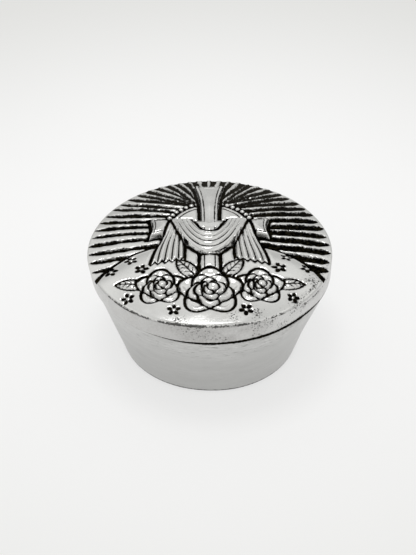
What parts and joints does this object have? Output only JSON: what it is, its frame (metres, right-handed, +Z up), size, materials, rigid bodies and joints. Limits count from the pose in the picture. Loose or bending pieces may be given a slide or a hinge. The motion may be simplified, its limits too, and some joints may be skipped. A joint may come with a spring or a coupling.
{
  "type": "round keepsake box with a lift-off lid",
  "caption": "Shallow round tapered box in cast metal for a rosary, with a lift-off lid that carries a low relief of a sunburst, a draped cross and roses.",
  "frame": {"origin": "centre of the box's flat base", "axes": "+Z up through the lid, -Y towards the foot of the cross, +X to the right of the cross as seen from the front"},
  "size_m": [0.1, 0.1, 0.05],
  "materials": {
    "satin_casting": "satin polished sand casting",
    "patinated_casting": "polished high spots with black patina in the recesses"
  },
  "bodies": {
    "body": {"box_body": "satin_casting"},
    "lid": {"lid": "patinated_casting"}
  },
  "joints": [
    {"name": "lid_lift", "type": "slide", "parent": "body", "child": "lid", "axis": [0, 0, 1], "range_m": [0, 0.06]}
  ]
}
